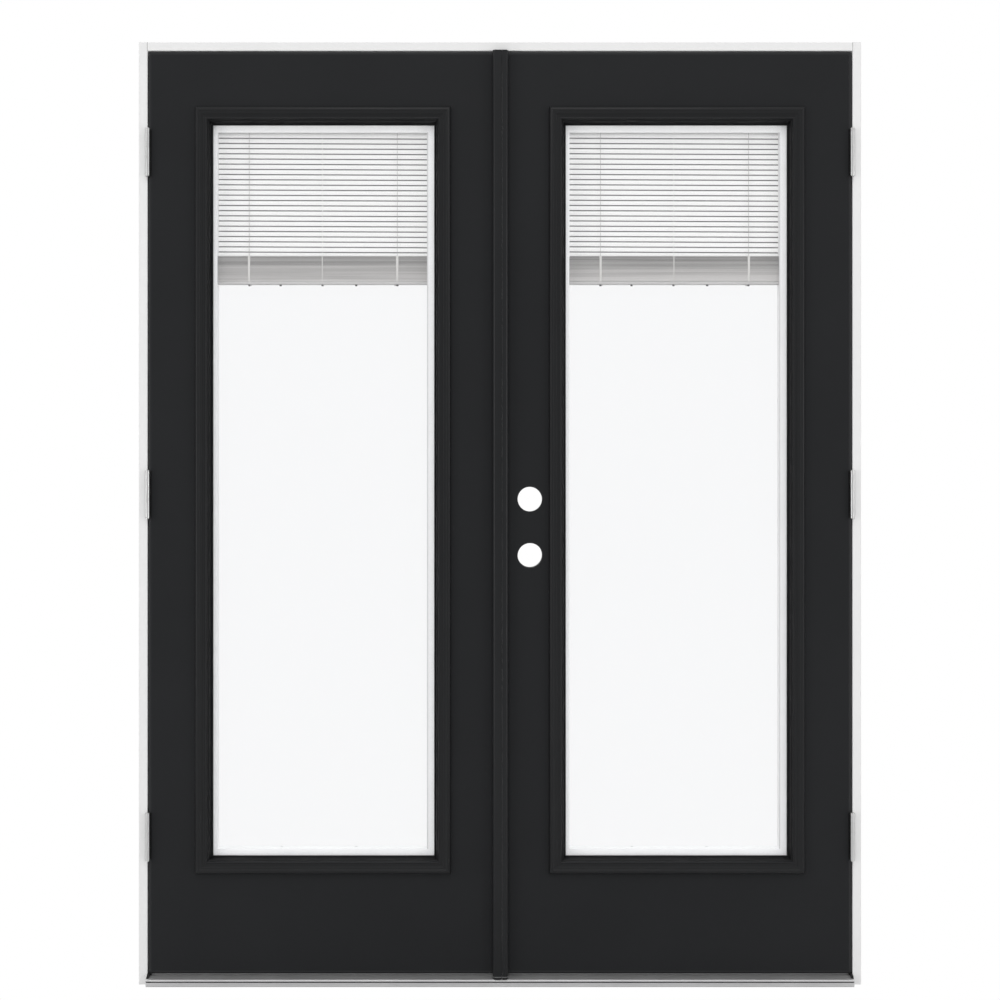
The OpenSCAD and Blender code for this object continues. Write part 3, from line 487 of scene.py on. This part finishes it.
def dress_blind(side):
    """The slats, ladders and stack of one blind; the gathered slats and their tapes ride on the
    stack's body and the plugs on the rail's.
    """
    leaf, stack, rail = f"{side}_leaf", f"{side}_blind_stack", f"{side}_blind_rail"
    low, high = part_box(f"{side}_blind_stack")
    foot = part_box(f"{side}_blind_headrail")[0].z
    x0, x1, mid_y, mid_x = low.x, high.x, (low.y + high.y) / 2, (low.x + high.x) / 2
    top, bottom, crown = high.z, low.z, high.z + CROWN_RISE

    for g in range(SLAT_COUNT // SLAT_GROUP):
        shape = Shape()
        for k in range(g * SLAT_GROUP, (g + 1) * SLAT_GROUP):
            mid_z = foot - (k + 0.5) * SLAT_PITCH + SLAT_RISE
            shape.run_x(slat_section(mid_y, mid_z), x0, x1, SLAT_DROP)
        slats = shape.make(f"{side}_slats_{g}", SLAT_WHITE, "blind_white", smooth=True)
        paint_shade_on_upper_edges(slats, bare=1 if g == 0 else 0)
        blend_between(slats)
        if g == 0:
            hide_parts(f"{side}_blind_slats")

    ladders = ladder_cords(mid_x, mid_y, top, foot, LADDER_PLACES[::2])
    ladders = ladders.make(f"{side}_ladder_cords", CORD_GREY, "ladder_white")
    blend_between(ladders)
    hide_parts(f"{side}_blind_ladders")
    middle = ladder_cords(mid_x, mid_y, top, foot, LADDER_PLACES[1:2])
    middle = middle.make(f"{side}_middle_cords", CORD_WHITE, "ladder_white")
    blend_between(middle)

    gathered = Shape().run_x(stack_outline(mid_y, bottom, crown), x0, x1)
    gathered = gathered.make(f"{side}_gathered_slats", STACK_EDGES, "blind_white")
    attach(gathered, stack)
    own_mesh(gathered)
    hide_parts(f"{side}_blind_stack")
    loops = stack_tapes(mid_x, mid_y, bottom, crown)
    loops = loops.make(f"{side}_gathered_ladders", TAPE_WHITE, "ladder_white")
    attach(loops, stack)
    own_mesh(loops)

    group_h = (top - bottom) / PAID_GROUPS
    for g in range(PAID_GROUPS):
        z_a = top - g * group_h
        slats = paid_slats(g, mid_y, z_a, group_h, x0, x1)
        slats = slats.make(f"{side}_paid_slats_{g}", SLAT_WHITE, "blind_white", smooth=True)
        paint_shade_on_upper_edges(slats)
        blend_between(slats)
    cords = ladder_cords(mid_x, mid_y, bottom, top, LADDER_PLACES)
    cords = cords.make(f"{side}_paid_cords", CORD_GREY, "ladder_white")
    blend_between(cords)

    rail_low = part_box(f"{side}_blind_bottom_rail")[0]
    plugs = Shape()
    for x in PLUG_PLACES:
        plugs.turned(mm(PLUG_PROFILE), Matrix.Translation((mid_x + x, mid_y, rail_low.z)))
    plugs = plugs.make(f"{side}_rail_plugs", PLUG_GREY, "blind_white", smooth=True)
    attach(plugs, rail)


STACK_LOW, STACK_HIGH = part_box("left_blind_stack")
STACK_EDGES = stack_finish("stack_edges", STACK_LOW.z, STACK_HIGH.z)
for side in SIDES:
    dress_blind(side)


# Seals, screws and small fittings; profiles and the hinges' heights are in millimetres

DOOR_T, LEAF_X0, LEAF_X1, RABBET_X = 44.45 * MM, 5.2 * MM, 765.2 * MM, 768.4 * MM
DECK_Z, HEAD_Z, FRAME_Z = 19.4 * MM, 2035 * MM, 2054 * MM
DECK_FALL, DECK_DEPTH = 3.8, 16.3
BOLT_X, MID_Y = -20.2 * MM, 22.225 * MM
GLASS_BITE, SPACER_RIGHT, SPACER_BOTTOM = 12.5 * MM, 15.0 * MM, 13.5 * MM
CATCH_PLACES = (-95 * MM, 69 * MM)
GLAZING_BEAD = ((6.1, 0.3), (5.1, 0.6), (4.7, 1.4), (4.9, 2.3), (5.5, 2.7))
THROAT_FOOT, THROAT_TOP = Vector((5.3, 2.8)), Vector((-7.1, 9.8))
THROAT_STRIP = ((0.04, -0.1), (0.06, 0.35), (0.5, 0.35), (0.6, 1.1), (0.68, 1.3), (0.76, 1.1),
                (0.84, 0.35), (0.95, 0.3), (0.97, -0.1))
RIM_CREST = ((-8.2, 20.0), (-8.8, 20.3), (-9.6, 20.8), (-10.2, 21.7), (-10.45, 23.0),
             (-10.5, 26.3), (-10.9, 26.8), (-11.5, 27.5), (-11.85, 28.6), (-11.85, 30.0),
             (-11.4, 32.0), (-10.5, 33.8), (-9.2, 35.2), (-7.5, 36.3), (-5.0, 36.55),
             (-5.0, 30.0))
CAP_OUT, CAP_FACE = 22.0 * MM, DOOR_T + 8.9 * MM
CAP_PROFILE = ((4.6, -0.6), (4.6, 0.35), (3.6, 0.8), (0.5, 0.9))
HINGE_MIDS = (323.3, 1068.05, 1812.8)
HINGE_SCREWS = ((13, 37), (13, -37), (25, 14), (25, -14))
# Where the strips of painted shadow beside the hinges run.
HINGE_SHADOW_X, HINGE_SHADOW_HALF = (759.6 * MM, 763.2 * MM), 51
SCREW_HEAD = ((4.3, -0.3), (4.3, 0.08), (3.9, 0.22), (0.3, 0.24))
SCREW_SLOT = (2.1 * MM, 0.45 * MM, 0.27 * MM)
HEM_PROFILE = ((0.05, -0.05), (-0.1, -0.1), (-0.55, -0.9), (-0.7, -2.2), (-0.45, -4.0),
               (0.05, -5.2))
BULB_MID, BULB_RADII, BULB_TAIL = (0.8, 17.0), (3.8, 3.3), (18.3, 15.7)
SILL_WEDGE = ((-12, 0.3), (1.5, 0.3), (1.5, 4.6), (-7, 3.0), (-12, 1.0))
RIB_PROFILE = ((-0.1, -0.8), (0.45, -0.35), (0.45, 0.35), (-0.1, 0.8))
RIB_PITCH, RIB_HALF = 3.2 * MM, 3.4 * MM


def lite_opening(side):
    """The middle of the glass that shows in one leaf, and half its width and height."""
    low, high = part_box(f"{side}_glass_exterior")
    centre = ((low.x + high.x) / 2, (low.z + high.z) / 2)
    return centre, (high.x - low.x) / 2 - GLASS_BITE, (high.z - low.z) / 2 - GLASS_BITE


def ring_both_faces(profile, opening):
    """A ring round the glass outdoors, and its mirror image indoors."""
    shape = Shape().ring(profile, *opening)
    return shape.ring([(DOOR_T - y, out) for y, out in profile], *opening)


def add_glazing(side):
    """Beads on the lips of the lite frame, dark strips of painted shade in its throats and the
    stepped rim outdoors.
    """
    opening = lite_opening(side)
    shape = ring_both_faces(mm(GLAZING_BEAD), opening)
    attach(shape.make(f"{side}_glazing_beads", GASKET_AND_SHADE_BLACK, "seal_black", smooth=True),
            f"{side}_leaf")
    # Dark strips laid in the throats: painted shade in the moulding's recess.
    along = THROAT_TOP - THROAT_FOOT
    off = Vector((-along.y, along.x)).normalized()
    strip = [THROAT_FOOT + along * share + off * out for share, out in THROAT_STRIP]
    shape = ring_both_faces(mm(strip), opening)
    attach(shape.make(f"{side}_throat_shade_strips", PAINTED_SHADE_BLACK, "seal_black", smooth=True),
            f"{side}_leaf")
    rim = Shape().ring(mm(RIM_CREST), *opening)
    rim = rim.make(f"{side}_rim_bead", MATERIALS["moulding_black"], "moulding_black", smooth=True)
    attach(rim, f"{side}_leaf")


def add_screw_caps(side):
    """Caps over the screws that hold the lite frame, indoors."""
    centre, half_w, half_h = lite_opening(side)
    down_sides, along_ends = range(-3, 4), (-1, 0, 1)
    side_share, end_share = 3.3, 1.4
    places = [(centre[0] + sx * (half_w + CAP_OUT), centre[1] + half_h * k / side_share)
              for sx in (-1, 1) for k in down_sides]
    places += [(centre[0] + half_w * k / end_share, centre[1] + sz * (half_h + CAP_OUT))
               for sz in (-1, 1) for k in along_ends]
    caps = Shape()
    for x, z in places:
        turn = Matrix.Translation((x, CAP_FACE, z)) @ Matrix.Rotation(-math.pi / 2, 4, "X")
        caps.turned(mm(CAP_PROFILE), turn)
    caps = caps.make(f"{side}_screw_caps", MATERIALS["moulding_black"], "moulding_black",
                     smooth=True)
    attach(caps, f"{side}_leaf")


def add_spacer_trim(side):
    """A grey strip of painted shade down the wide spacer's edge, and the catches for the lowered
    rail.
    """
    low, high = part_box(f"{side}_glass_exterior")
    edge, shelf = high.x - GLASS_BITE - SPACER_RIGHT, low.z + GLASS_BITE + SPACER_BOTTOM
    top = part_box(f"{side}_blind_headrail")[0].z
    inner, outer, sunk, proud = 1.2 * MM, 1.5 * MM, 0.1 * MM, 0.25 * MM
    # A grey strip where shade falls along the spacer's edge: painted shade.
    shade_line = Shape().box((edge - inner, high.y - sunk, shelf), (edge + outer, high.y + proud, top))
    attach(shade_line.make(f"{side}_spacer_shade_line", SHADE_LINE_AND_CATCH_GREY, "spacer_white"), f"{side}_leaf")
    mid_x, back = (low.x + high.x) / 2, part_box(f"{side}_glass_interior")[0].y
    half, deep, fit, tall = 2.2 * MM, 2.6 * MM, 0.2 * MM, 1.6 * MM
    catches = Shape()
    for place in CATCH_PLACES:
        x = mid_x + place
        catches.box((x - half, back - deep, shelf - fit), (x + half, back - fit, shelf + tall))
    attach(catches.make(f"{side}_rail_catches", SHADE_LINE_AND_CATCH_GREY, "spacer_white"), f"{side}_leaf")


def add_screws(name, places, turn, body):
    """Countersunk cross-head screws that sit flush in a plate, their cross slots drawn as dark
    bars of painted shade.
    """
    heads, slots = Shape(), Shape()
    long, wide, tall = SCREW_SLOT
    bar = Shape().box((-long, -wide, 0.0), (long, wide, tall))
    for place in places:
        at = Matrix.Translation(place) @ turn
        heads.turned(mm(SCREW_HEAD), at)
        for spin in (0, math.pi / 2):
            base = len(slots.verts)
            slots.verts += [tuple(at @ Matrix.Rotation(spin, 4, "Z") @ Vector(v))
                            for v in bar.verts]
            slots.faces += [tuple(base + i for i in face) for face in bar.faces]
    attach(heads.make(f"{name}_screws", SCREW_STEEL, "hinge_nickel"), body)
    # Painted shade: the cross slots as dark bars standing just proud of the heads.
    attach(slots.make(f"{name}_screw_slot_shade", SLOT_SHADE_DARK, "hinge_nickel"), body)


def add_hinge_screws(side):
    """Four screws in each plate of the three hinges of one leaf."""
    sign = SIDES[side]
    places = [(y * MM, (mid + z) * MM) for mid in HINGE_MIDS for y, z in HINGE_SCREWS]
    on_jamb = Matrix.Rotation(-sign * math.pi / 2, 4, "Y")
    on_leaf = Matrix.Rotation(sign * math.pi / 2, 4, "Y")
    add_screws(f"{side}_jamb", [(sign * RABBET_X, y, z) for y, z in places], on_jamb, "frame")
    add_screws(f"{side}_leaf", [(sign * LEAF_X1, y, z) for y, z in places], on_leaf,
               f"{side}_leaf")


def add_hems(side):
    """The hem round one outer skin, lighter than the skin as a painted highlight; a dark strip of
    painted shade along its lower edge; and dark strips of painted shadow beside the hinges.
    """
    low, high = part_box(f"{side}_exterior_skin")
    centre = ((low.x + high.x) / 2, (low.z + high.z) / 2)
    ring = Shape().ring(mm(HEM_PROFILE), centre, (high.x - low.x) / 2, (high.z - low.z) / 2)
    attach(ring.make(f"{side}_skin_hem", HEM_HIGHLIGHT_BLACK, "leaf_black", smooth=True), f"{side}_leaf")
    # A dark strip along the skin's lower edge: painted shade where the underside faces down.
    short, fit, shade_y, shade_h = 0.5 * MM, 0.05 * MM, -0.9 * MM, 3.2 * MM
    edge = Shape().box((low.x + short, shade_y, low.z + fit),
                       (high.x - short, fit, low.z + shade_h))
    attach(edge.make(f"{side}_lower_edge_shade", PAINTED_SHADE_BLACK, "leaf_black"), f"{side}_leaf")
    x0, x1 = sorted(SIDES[side] * x for x in HINGE_SHADOW_X)
    # Dark strips beside the hinges' barrels: painted shadow.
    strips, shadow_y = Shape(), -0.95 * MM
    for mid in HINGE_MIDS:
        strips.box((x0, shadow_y, (mid - HINGE_SHADOW_HALF) * MM),
                   (x1, fit, (mid + HINGE_SHADOW_HALF) * MM))
    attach(strips.make(f"{side}_hinge_shadow_strips", GASKET_AND_SHADE_BLACK, "seal_black"), f"{side}_leaf")


def plate_round_slot(name, z0, z1):
    """A thin plate round a flush bolt's slot."""
    inner, wide, back = 6.0 * MM, 12.0 * MM, 24.0 * MM
    front = back / 1.3
    x0, x1, y0, y1 = BOLT_X - wide, BOLT_X + wide, MID_Y - front, MID_Y + back
    left, right, near, far = BOLT_X - inner, BOLT_X + inner, MID_Y - inner, MID_Y + inner
    shape = Shape().box((x0, y0, z0), (x1, near, z1)).box((x0, far, z0), (x1, y1, z1))
    shape.box((x0, near, z0), (left, far, z1)).box((right, near, z0), (x1, far, z1))
    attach(shape.make(name, MATERIALS["hinge_nickel"], "hinge_nickel"), "frame")


def add_meeting_seal():
    """The bulb on the passive leaf's edge that closes the gap between the leaves."""
    low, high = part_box("left_lock_stile")
    (mid_x, mid_y), (wide, deep), short = BULB_MID, BULB_RADII, 0.5 * MM
    angles = [math.pi * k / 9 for k in range(-8, 9)]
    section = mm([(mid_x + wide * math.cos(a), mid_y + deep * math.sin(a)) for a in angles])
    section += [(-LEAF_X0, y * MM) for y in BULB_TAIL]
    seal = Shape().run_z(section, low.z + short, high.z - short)
    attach(seal.make("meeting_seal", MATERIALS["seal_black"], "seal_black", smooth=True),
            "left_leaf")


def deck_height(y):
    """The height of the sill's deck in metres; y is millimetres behind the leaves' face."""
    return DECK_Z + max(min(y, 0), -DECK_DEPTH) * MM * DECK_FALL / DECK_DEPTH


def add_sill_seals():
    """A dark strip of painted shadow in the sill's groove, a grey strip of painted shade along the
    sill's foot, wedges beside the jambs and the head's sealant.
    """
    # A dark strip in the sill's groove: painted shadow.
    end, front, back, foot, top = 0.5 * MM, -16.3 * MM, -12.1 * MM, 9.35 * MM, 11.75 * MM
    groove_shadow = Shape().box((-RABBET_X + end, front, foot), (RABBET_X - end, back, top))
    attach(groove_shadow.make("sill_groove_shadow", GASKET_AND_SHADE_BLACK, "seal_black"), "frame")
    # A grey strip along the sill's foot: painted shade at the base's lower edge.
    low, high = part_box("sill_base")
    end, proud, sunk, foot, top = 1.0 * MM, 0.15 * MM, 0.5 * MM, 0.1 * MM, 1.1 * MM
    foot_shade = Shape().box((low.x + end, low.y - proud, foot), (high.x - end, low.y + sunk, top))
    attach(foot_shade.make("sill_foot_shade", SEALANT_AND_SHADE_GREY, "seal_black"), "frame")
    wedge = [(y * MM, deck_height(y) + up * MM) for y, up in SILL_WEDGE]
    fit, wide = 0.1 * MM, 5.5 * MM
    joint_in, joint_out, proud, deep, end = 0.2 * MM, 0.7 * MM, 0.05 * MM, 0.6 * MM, 0.5 * MM
    for side, sign in SIDES.items():
        x0, x1 = sorted((sign * (RABBET_X - fit), sign * (RABBET_X - wide)))
        corner = Shape().run_x(wedge, x0, x1)
        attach(corner.make(f"{side}_sill_wedge", MATERIALS["seal_black"], "seal_black"), "frame")
        x0, x1 = sorted((sign * (RABBET_X - joint_in), sign * (RABBET_X + joint_out)))
        joint = Shape().box((x0, -proud, HEAD_Z + end), (x1, deep, FRAME_Z - end))
        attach(joint.make(f"{side}_head_sealant", SEALANT_AND_SHADE_GREY, "frame_white"), "frame")


def add_seam_strip():
    """The soft strip on the passive half's edge that fills the astragal's seam."""
    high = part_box("left_astragal")[1]
    x0, x1, front, back = 3.2 * MM, 4.5 * MM, -17.3 * MM, -1.0 * MM
    foot, top = deck_height(-16) + 1.0 * MM, high.z - 0.3 * MM
    strip = Shape().box((x0, front, foot), (x1, back, top))
    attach(strip.make("astragal_seam_strip", MATERIALS["seal_black"], "seal_black"), "left_leaf")


def add_astragal_pads():
    """Rubber feet that close the space between the astragal and the sill's sloping deck."""
    shift, half, flat, out, seam, gap, back = 1.1, 16.6, 10.2, 17.4, 3.9, 0.9, -0.6
    clear, cap_h, curve = 0.5 * MM, 1.3 * MM, half - flat
    corner = [(math.sin(a), math.cos(a)) for a in (math.pi / 2 * k / 6 for k in range(7))]
    right = [(shift + flat + curve * u, -(out - curve) - curve * v) for u, v in corner]
    left = [(2 * shift - x, y) for x, y in right]
    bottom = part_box("left_astragal")[0].z
    for side, edge, rounded in (("left", seam - gap, left), ("right", seam + gap, right)):
        section = [(edge, back), (edge, -out)] + rounded + [(shift + SIDES[side] * half, back)]
        lows = [deck_height(y) + clear for x, y in section]
        pad = Shape().run_z(mm(section), lows, bottom - cap_h)
        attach(pad.make(f"{side}_astragal_pad", MATERIALS["seal_black"], "seal_black"),
                f"{side}_leaf")
        cap = Shape().run_z(mm(section), bottom - cap_h, bottom)
        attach(cap.make(f"{side}_astragal_cap", VINYL_GREY, "seal_black"), f"{side}_leaf")


def add_slider_grip(side):
    """Ribs on the lift slider for a finger."""
    low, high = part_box(f"{side}_lift_slider")
    mid_x, mid_z = (low.x + high.x) / 2, (low.z + high.z) / 2
    shape = Shape()
    for k in range(-3, 4):
        z = mid_z + k * RIB_PITCH
        rib = [(high.y + y, z + up) for y, up in mm(RIB_PROFILE)]
        shape.run_x(rib, mid_x - RIB_HALF, mid_x + RIB_HALF)
    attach(shape.make(f"{side}_slider_grip", MATERIALS["track_white"], "track_white"),
            f"{side}_slider")


for side in SIDES:
    add_glazing(side)
    add_screw_caps(side)
    add_spacer_trim(side)
    add_hinge_screws(side)
    add_hems(side)
    add_slider_grip(side)
plate_round_slot("head_strike_plate", HEAD_Z - 0.6 * MM, HEAD_Z)
plate_round_slot("sill_strike_plate", DECK_Z, DECK_Z + 0.25 * MM)
add_meeting_seal()
add_sill_seals()
add_seam_strip()
add_astragal_pads()


# Stage, light and camera

WHITE = (1, 1, 1, 1)
FLOOR_HALF, FLOOR_GREY, FLOOR_ROUGH = 12, (0.7, 0.7, 0.7, 1), 0.9
SKY_LEVEL, SKY_OVERHEAD = 0.5, 1.3
EYE, LENS, SENSOR, FAR = (0, -3.027, 1.056), 50, 36, 100
LIGHT_AIM = (0, 0, 1.0)
LIGHTS = {
    "key": {"place": (0, -4.2, 6.5), "size": (3.6, 2.4), "power": 84},
    "left_fill": {"place": (-4.2, -2.6, 1.5), "size": (1.6, 3.0), "power": 50},
    "right_fill": {"place": (4.2, -2.6, 1.5), "size": (1.6, 3.0), "power": 50},
}


def area_light(name, place, size, power):
    """A soft rectangular light that faces the doors."""
    data = bpy.data.lights.new(name, "AREA")
    data.shape = "RECTANGLE"
    data.size, data.size_y = size
    data.energy = power
    obj = bpy.data.objects.new(name, data)
    obj.location = place
    aim = Vector(LIGHT_AIM) - Vector(place)
    obj.rotation_euler = aim.to_track_quat("-Z", "Y").to_euler()
    bpy.context.scene.collection.objects.link(obj)


def white_to_camera(tree, lit, output):
    """Pure white where the camera sees it, and the lit shader for all other rays."""
    path = tree.nodes.new("ShaderNodeLightPath")
    glow = tree.nodes.new("ShaderNodeEmission")
    glow.inputs["Color"].default_value = WHITE
    glow.inputs["Strength"].default_value = 1.0
    mix = tree.nodes.new("ShaderNodeMixShader")
    tree.links.new(path.outputs["Is Camera Ray"], mix.inputs["Fac"])
    tree.links.new(lit, mix.inputs[1])
    tree.links.new(glow.outputs["Emission"], mix.inputs[2])
    tree.links.new(mix.outputs["Shader"], output.inputs["Surface"])


def add_floor():
    """A plain pale floor that reads as white."""
    half = FLOOR_HALF
    corners = [(-half, -half, 0), (half, -half, 0), (half, half, 0), (-half, half, 0)]
    mesh = bpy.data.meshes.new("floor")
    mesh.from_pydata(corners, [], [(0, 1, 2, 3)])
    mat = bpy.data.materials.new("floor")
    mat.use_nodes = True
    tree = mat.node_tree
    shader = tree.nodes["Principled BSDF"]
    shader.inputs["Base Color"].default_value = FLOOR_GREY
    shader.inputs["Roughness"].default_value = FLOOR_ROUGH
    white_to_camera(tree, shader.outputs["BSDF"], tree.nodes["Material Output"])
    mesh.materials.append(mat)
    floor = bpy.data.objects.new("floor", mesh)
    bpy.context.scene.collection.objects.link(floor)


def add_world(level, overhead):
    """A white surround, brighter overhead, and white as a background."""
    world = bpy.data.worlds.new("studio")
    world.use_nodes = True
    tree = world.node_tree
    sky = tree.nodes["Background"]
    sky.inputs["Color"].default_value = WHITE
    coords = tree.nodes.new("ShaderNodeTexCoord")
    height = height_of(tree, coords.outputs["Generated"])
    strength = mapped(tree, height, (0.0, 1.0), (level, overhead))
    tree.links.new(strength, sky.inputs["Strength"])
    white_to_camera(tree, sky.outputs["Background"], tree.nodes["World Output"])
    bpy.context.scene.world = world


def add_camera():
    """Straight on, at the height of the middle of the photograph."""
    data = bpy.data.cameras.new("camera")
    data.lens, data.sensor_width = LENS, SENSOR
    data.clip_end = FAR
    camera = bpy.data.objects.new("camera", data)
    camera.location = EYE
    camera.rotation_euler = (math.pi / 2, 0, 0)
    bpy.context.scene.collection.objects.link(camera)
    bpy.context.scene.camera = camera


add_floor()
add_world(SKY_LEVEL, SKY_OVERHEAD)
add_camera()
for name, settings in LIGHTS.items():
    area_light(name, **settings)
bpy.context.scene.view_settings.view_transform = "Standard"
